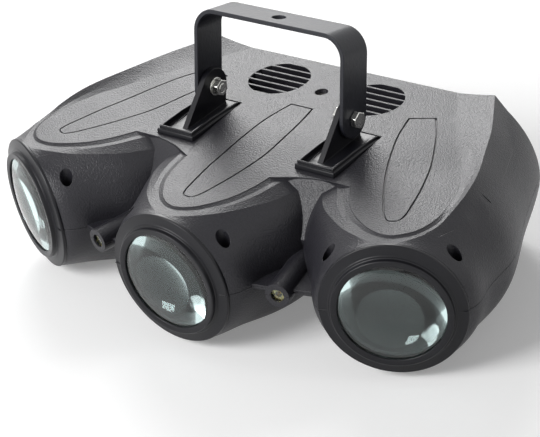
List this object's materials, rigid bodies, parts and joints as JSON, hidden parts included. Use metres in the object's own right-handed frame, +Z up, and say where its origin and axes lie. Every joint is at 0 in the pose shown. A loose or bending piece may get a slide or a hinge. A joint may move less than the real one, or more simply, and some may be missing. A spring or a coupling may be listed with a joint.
{
  "type": "multi-head stage effect light",
  "caption": "Black stage effect light with a row of fanned lens heads, small beam apertures between them and a tilting strap bracket on the roof.",
  "frame": {"origin": "middle of the overall width and depth, on the surface that the rubber feet stand on", "axes": "+Z up, -Y the way the middle lens looks, +X to the viewer's right in a front view"},
  "size_m": [0.3766, 0.2146, 0.1708],
  "materials": {
    "black_steel": "powder coated, satin black",
    "black_steel_screw": "blackened",
    "board_laminate": "green solder mask",
    "button_plastic": "black",
    "collar_plastic": "smooth, satin black",
    "display_cover": "dark red, clear",
    "foot_rubber": "matt",
    "heat_aluminium": "extruded, clear",
    "housing_plastic": "fine grained, charcoal black",
    "inner_plastic": "matt black",
    "latch_metal": "nickel plated",
    "lens_glass": "clear, polished, faint coating",
    "module_brass": "turned",
    "motor_can": "drawn can",
    "seal_rubber": "matt",
    "sheet_steel": "zinc coated sheet",
    "shoe_plastic": "smooth, satin black",
    "socket_metal": "nickel plated die casting",
    "socket_plastic": "black",
    "wheel_aluminium": "black coated",
    "zinc_steel": "zinc plated, bright"
  },
  "bodies": {
    "housing": {"aperture_windows": "lens_glass", "beam_modules": "module_brass", "bezel_centre": "collar_plastic", "bezel_left": "collar_plastic", "bezel_right": "collar_plastic", "bracket_shoe_left": "shoe_plastic", "bracket_shoe_right": "shoe_plastic", "chassis_plate": "sheet_steel", "condenser_lens_centre": "lens_glass", "condenser_lens_left": "lens_glass", "condenser_lens_right": "lens_glass", "control_board": "board_laminate", "data_socket_in": "socket_metal", "data_socket_out": "socket_metal", "display_window": "display_cover", "fan_frames": "inner_plastic", "heat_sink_centre": "heat_aluminium", "heat_sink_left": "heat_aluminium", "heat_sink_right": "heat_aluminium", "inner_tube_centre": "inner_plastic", "inner_tube_left": "inner_plastic", "inner_tube_right": "inner_plastic", "lens_centre": "lens_glass", "lens_gaskets": "seal_rubber", "lens_left": "lens_glass", "lens_right": "lens_glass", "light_board_centre": "board_laminate", "light_board_left": "board_laminate", "light_board_right": "board_laminate", "lower_shell": "housing_plastic", "mains_inlet": "socket_plastic", "microphone": "zinc_steel", "optics_frame_centre": "sheet_steel", "optics_frame_left": "sheet_steel", "optics_frame_right": "sheet_steel", "power_board": "board_laminate", "rear_panel": "black_steel", "rubber_feet": "foot_rubber", "shell_screws": "black_steel_screw", "tilt_bolts": "zinc_steel", "tilt_nuts": "zinc_steel", "tilt_washers": "zinc_steel", "upper_shell": "housing_plastic", "wheel_motor_centre": "motor_can", "wheel_motor_left": "motor_can", "wheel_motor_right": "motor_can"},
    "bracket": {"bracket": "black_steel"},
    "fan_left": {"fan_rotor_left": "inner_plastic"},
    "fan_right": {"fan_rotor_right": "inner_plastic"},
    "fuse_drawer": {"fuse_drawer": "socket_plastic"},
    "data_latch": {"data_latch": "latch_metal"},
    "menu_button_1": {"menu_button_1": "button_plastic"},
    "menu_button_2": {"menu_button_2": "button_plastic"},
    "menu_button_3": {"menu_button_3": "button_plastic"},
    "menu_button_4": {"menu_button_4": "button_plastic"},
    "pattern_wheel_left": {"pattern_wheel_left": "wheel_aluminium"},
    "pattern_wheel_centre": {"pattern_wheel_centre": "wheel_aluminium"},
    "pattern_wheel_right": {"pattern_wheel_right": "wheel_aluminium"}
  },
  "joints": [
    {"name": "bracket_tilt", "type": "hinge", "parent": "housing", "child": "bracket", "pos_m": [0, 0.028, 0.1132], "axis": [1, 0, 0], "range_deg": [-62.5, 87.5]},
    {"name": "pattern_wheel_spin_left", "type": "hinge", "parent": "housing", "child": "pattern_wheel_left", "pos_m": [-0.1006, -0.02522, 0.051], "axis": [0.4226, 0.9063, 0], "continuous": true},
    {"name": "pattern_wheel_spin_centre", "type": "hinge", "parent": "housing", "child": "pattern_wheel_centre", "pos_m": [0.024, -0.0422, 0.051], "axis": [0, 1, 0], "continuous": true},
    {"name": "pattern_wheel_spin_right", "type": "hinge", "parent": "housing", "child": "pattern_wheel_right", "pos_m": [0.1441, -0.00493, 0.051], "axis": [-0.4226, 0.9063, 0], "continuous": true},
    {"name": "fan_spin_left", "type": "hinge", "parent": "housing", "child": "fan_left", "pos_m": [-0.0386, 0.0768, 0.0875], "axis": [0, 0, 1], "continuous": true},
    {"name": "fan_spin_right", "type": "hinge", "parent": "housing", "child": "fan_right", "pos_m": [0.0386, 0.0768, 0.0875], "axis": [0, 0, 1], "continuous": true},
    {"name": "menu_button_press_1", "type": "slide", "parent": "housing", "child": "menu_button_1", "axis": [0, -1, 0], "range_m": [0, 0.0008], "stiffness_N_per_m": 400, "springref_m": -0.0005},
    {"name": "menu_button_press_2", "type": "slide", "parent": "housing", "child": "menu_button_2", "axis": [0, -1, 0], "range_m": [0, 0.0008], "stiffness_N_per_m": 400, "springref_m": -0.0005},
    {"name": "menu_button_press_3", "type": "slide", "parent": "housing", "child": "menu_button_3", "axis": [0, -1, 0], "range_m": [0, 0.0008], "stiffness_N_per_m": 400, "springref_m": -0.0005},
    {"name": "menu_button_press_4", "type": "slide", "parent": "housing", "child": "menu_button_4", "axis": [0, -1, 0], "range_m": [0, 0.0008], "stiffness_N_per_m": 400, "springref_m": -0.0005},
    {"name": "fuse_drawer_slide", "type": "slide", "parent": "housing", "child": "fuse_drawer", "axis": [0, 1, 0], "range_m": [0, 0.012]},
    {"name": "data_latch_press", "type": "slide", "parent": "housing", "child": "data_latch", "axis": [0, -1, 0], "range_m": [0, 0.001], "stiffness_N_per_m": 500, "springref_m": -0.0005}
  ]
}
